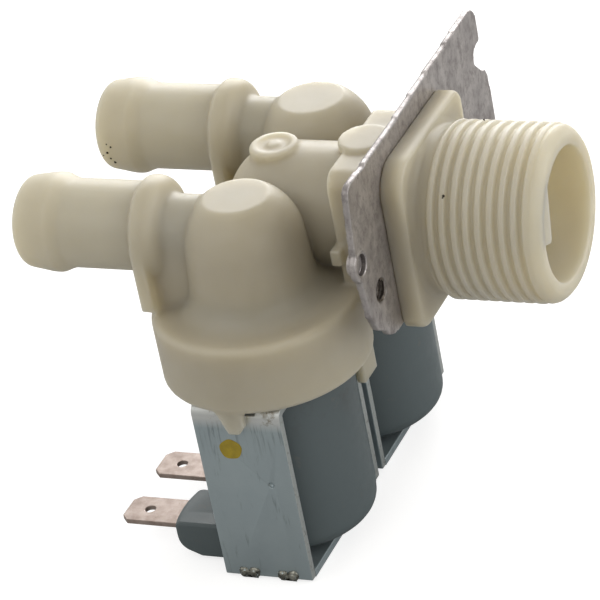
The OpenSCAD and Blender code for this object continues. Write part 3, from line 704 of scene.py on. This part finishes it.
class VALVE_OT_solenoids(bpy.types.Operator):
    """Coils, yokes, blades and the finishes of the inner pieces"""

    bl_idname = "valve.solenoids"
    bl_label = "Solenoids"

    def execute(self, context):
        look = context.scene.coil_finish
        yoke = bright_zinc(look.zinc)
        slate = glass_filled_grey(look.slate)
        blade = tinned_blade()
        # painted highlight: the yokes' cut edges get a lighter tint
        edge = sheared_edge_highlight()
        heads = plain_finish("peened_steel", "#A8A89E", "#3E3E38", 0.26, 0.85, 0.909)
        rubber = plain_finish("nitrile_rubber", "#1C1C1D", "#141414", 0.6)
        copper = plain_finish("enamelled_copper_wire", "#A4623A", "#7D4726", 0.4, 0.8, 0.667)
        core = plain_finish("ferritic_stainless_steel", "#A9A9AB", "#8C8C8F", 0.35, 0.95)
        acetal = plain_finish("white_acetal", "#DCDCD4", "#CFCFC5", 0.45)
        inner = {"flux_sleeve": core, "guide_tube": acetal, "bobbin": acetal, "winding": copper,
                 "plunger": core, "plunger_seal": rubber, "diaphragm": rubber, "insert": acetal}
        for side in SIDES:
            for name, mat in inner.items():
                finish(NODES[f"{side}_{name}"], mat)
            softened(f"{side}_yoke", f"{side}_bent_yoke", yoke, look.edge, edge, 0)
            softened(f"{side}_yoke_base", f"{side}_base_strap", yoke, look.edge, heads, 1)
            softened(f"{side}_coil_cover", f"{side}_coil", slate, 3 * look.edge)
            self.spring(side, core)
            for row in ("near", "far"):
                source = f"{side}_terminal_{row}"
                softened(source, f"{side}_{row}_blade", blade, 0.8 * look.edge)
        finish(NODES["inlet_filter"], acetal)
        finish(NODES["flow_cage"], acetal)
        finish(NODES["flow_washer"], rubber)
        return {"FINISHED"}

    def spring(self, side, mat):
        """Return spring, as a piece with a mesh of its own"""
        bm = bmesh.new()
        bm.from_mesh(NODES[f"{side}_spring"].data)
        obj = mesh_object(f"{side}_return_spring", bm, mat)
        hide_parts(f"{side}_spring")
        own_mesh(obj)


class VALVE_OT_marks(bpy.types.Operator):
    """Paint dot, peened heads and black grit"""

    bl_idname = "valve.marks"
    bl_label = "Marks"

    def execute(self, context):
        self.dot(context.scene.coil_finish.dot)
        for side, out in (("front", 0), ("back", 1)):
            self.heads(side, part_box(f"{side}_yoke_base")[out].y, 1 - 2 * out)
        mat = grime()
        self.grit("tail_grit", TAIL_GRIT, "body_moulding", mat)
        self.grit("thread_grit", THREAD_GRIT, "threaded_inlet", mat)
        return {"FINISHED"}

    def dot(self, colour):
        """Dab of paint on the near yoke's outer face, not quite round"""
        bm = bmesh.new()
        bmesh.ops.create_circle(bm, cap_ends=True, segments=40, radius=DOT_RADIUS)
        for v in bm.verts:
            turn = math.atan2(v.co.y, v.co.x)
            v.co *= 1 + 0.05 * math.sin(2 * turn + 0.6) + 0.03 * math.sin(5 * turn)
        raised(bm, (0, 0, DOT_THICK))
        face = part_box("front_yoke")[0].y
        place = Matrix.Translation((VALVE_X + DOT_X, face + DOT_SUNK, DOT_Z))
        bm.transform(place @ Matrix.Rotation(math.pi / 2, 4, "X"))
        mesh_object("inspection_dot", bm, inspection_paint(colour), angle=40)

    def heads(self, side, face, inward):
        """Peened heads on the split tab ends of a yoke's base, each dented in its own way"""
        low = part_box(f"{side}_yoke_base")[0].z + HEAD_HEIGHT
        bm = bmesh.new()
        for i, x in enumerate(HEAD_PLACES):
            place = Vector((VALVE_X + x, face + HEAD_SUNK * inward, low + HEAD_OFFSET * (i % 2)))
            lump = bmesh.ops.create_icosphere(bm, subdivisions=3, radius=1.0)
            for v in lump["verts"]:
                wavy = 0.10 * math.sin(3.1 * v.co.x + 2.3 * i) * math.cos(4.3 * v.co.z + i)
                split = 0.12 * (abs(v.co.x) < 0.25)
                v.co = place + (1 + wavy - split) * v.co * HEAD_HALF
        steel = bpy.data.materials["peened_steel"]
        mesh_object(f"{side}_peened_heads", bm, steel)

    def grit(self, name, places, carrier, mat):
        """Specks half sunk in the surface that carries them"""
        bm = bmesh.new()
        for i, place in enumerate(places):
            spot = bpy.data.objects[carrier].closest_point_on_mesh(Vector(place) * MM)[1]
            size = SPECK_SIZES[i % len(SPECK_SIZES)]
            bmesh.ops.create_icosphere(bm, subdivisions=2, radius=size, matrix=Matrix.Translation(spot))
        mesh_object(name, bm, mat)


class VALVE_OT_studio(bpy.types.Operator):
    """Pale floor, soft light and the camera at the photograph's angle"""

    bl_idname = "valve.studio"
    bl_label = "Studio"

    def execute(self, context):
        scene = context.scene
        self.camera(scene)
        self.floor(scene)
        self.room(scene)
        self.lamps(scene)
        scene.view_settings.view_transform = "Standard"
        return {"FINISHED"}

    def camera(self, scene):
        """Camera in the photograph's place, aimed close by the middle of the two valves"""
        around, above, roll = (math.radians(a) for a in CAMERA_ANGLES)
        level = Vector((math.sin(around), -math.cos(around), 0))
        back = level * math.cos(above) + Vector((0, 0, math.sin(above)))
        right = Vector((math.cos(around), math.sin(around), 0))
        up = back.cross(right)
        across = right * math.cos(roll) + up * math.sin(roll)
        rise = -right * math.sin(roll) + up * math.cos(roll)
        data = bpy.data.cameras.new("camera")
        data.sensor_width = SENSOR
        data.lens = FOCAL_PIXELS / PHOTO_WIDTH * SENSOR
        data.clip_start, data.clip_end = CLIP
        cam = bpy.data.objects.new("camera", data)
        scene.collection.objects.link(cam)
        offset = back * CAMERA_DISTANCE + across * CAMERA_ACROSS + rise * CAMERA_RISE
        turn = Matrix((across, rise, back)).transposed().to_4x4()
        cam.matrix_world = Matrix.Translation(Vector((VALVE_X, 0, 0)) + offset) @ turn
        scene.camera = cam

    def floor(self, scene):
        """Wide disc just under the part, which the camera sees evenly lit apart from the part's shadow"""
        bm = bmesh.new()
        bmesh.ops.create_circle(bm, cap_ends=True, segments=96, radius=FLOOR_RADIUS)
        bmesh.ops.translate(bm, verts=bm.verts, vec=(0, 0, CAD_LOW.z - FLOOR_GAP))
        mesh = bpy.data.meshes.new("floor")
        bm.to_mesh(mesh)
        bm.free()
        floor = bpy.data.objects.new("floor", mesh)
        scene.collection.objects.link(floor)
        mat, tree, shader = start("matt_white_floor")[:3]
        shader.inputs["Base Color"].default_value = linear("#B0B0B0")
        shader.inputs["Roughness"].default_value = 0.9
        rays = node(tree, "ShaderNodeLightPath").outputs["Is Camera Ray"]
        tree.links.new(rays, shader.inputs["Emission Strength"])
        shader.inputs["Emission Color"].default_value = FLOOR_GLOW
        mesh.materials.append(mat)

    def room(self, scene):
        """Warm light from all round, which the camera sees as white"""
        world = bpy.data.worlds.new("studio")
        world.use_nodes = True
        tree = world.node_tree
        warm = tree.nodes["Background"]
        warm.inputs["Color"].default_value = ROOM_TINT
        warm.inputs["Strength"].default_value = ROOM_LIGHT
        white = node(tree, "ShaderNodeBackground", {"Color": (1, 1, 1, 1), "Strength": 1.0})
        rays = node(tree, "ShaderNodeLightPath").outputs["Is Camera Ray"]
        mix = node(tree, "ShaderNodeMixShader", {0: rays, 1: warm.outputs[0], 2: white.outputs[0]})
        tree.links.new(mix.outputs[0], tree.nodes["World Output"].inputs["Surface"])
        scene.world = world

    def lamps(self, scene):
        """Round soft lamps, all aimed at the part"""
        for name, place, size, power in LAMPS:
            lamp = bpy.data.lights.new(name, "AREA")
            lamp.shape = "DISK"
            lamp.size = size
            lamp.energy = power
            obj = bpy.data.objects.new(name, lamp)
            scene.collection.objects.link(obj)
            obj.location = place
            obj.rotation_euler = (-Vector(place)).to_track_quat("-Z", "Y").to_euler()


class VALVE_PT_panel(bpy.types.Panel):
    """Lists the valve's pieces"""

    bl_idname = "VALVE_PT_panel"
    bl_label = "Valve"
    bl_space_type = "VIEW_3D"
    bl_region_type = "UI"
    bl_category = "Valve"

    def draw(self, context):
        for name in STEPS:
            self.layout.operator("valve." + name)


STEPS = ("studio", "body", "inlet", "plate", "solenoids", "marks")
CLASSES = (ThreadSizes, BodyFinish, PlateFinish, CoilFinish, VALVE_OT_studio, VALVE_OT_body, VALVE_OT_inlet,
           VALVE_OT_plate, VALVE_OT_solenoids, VALVE_OT_marks, VALVE_PT_panel)


def register():
    for cls in CLASSES:
        bpy.utils.register_class(cls)
    bpy.types.Scene.thread_sizes = bpy.props.PointerProperty(type=ThreadSizes)
    bpy.types.Scene.body_finish = bpy.props.PointerProperty(type=BodyFinish)
    bpy.types.Scene.plate_finish = bpy.props.PointerProperty(type=PlateFinish)
    bpy.types.Scene.coil_finish = bpy.props.PointerProperty(type=CoilFinish)


def unregister():
    del bpy.types.Scene.coil_finish
    del bpy.types.Scene.plate_finish
    del bpy.types.Scene.body_finish
    del bpy.types.Scene.thread_sizes
    for cls in reversed(CLASSES):
        bpy.utils.unregister_class(cls)


def main():
    register()
    for name in STEPS:
        getattr(bpy.ops.valve, name)()


if __name__ == "__main__":
    main()
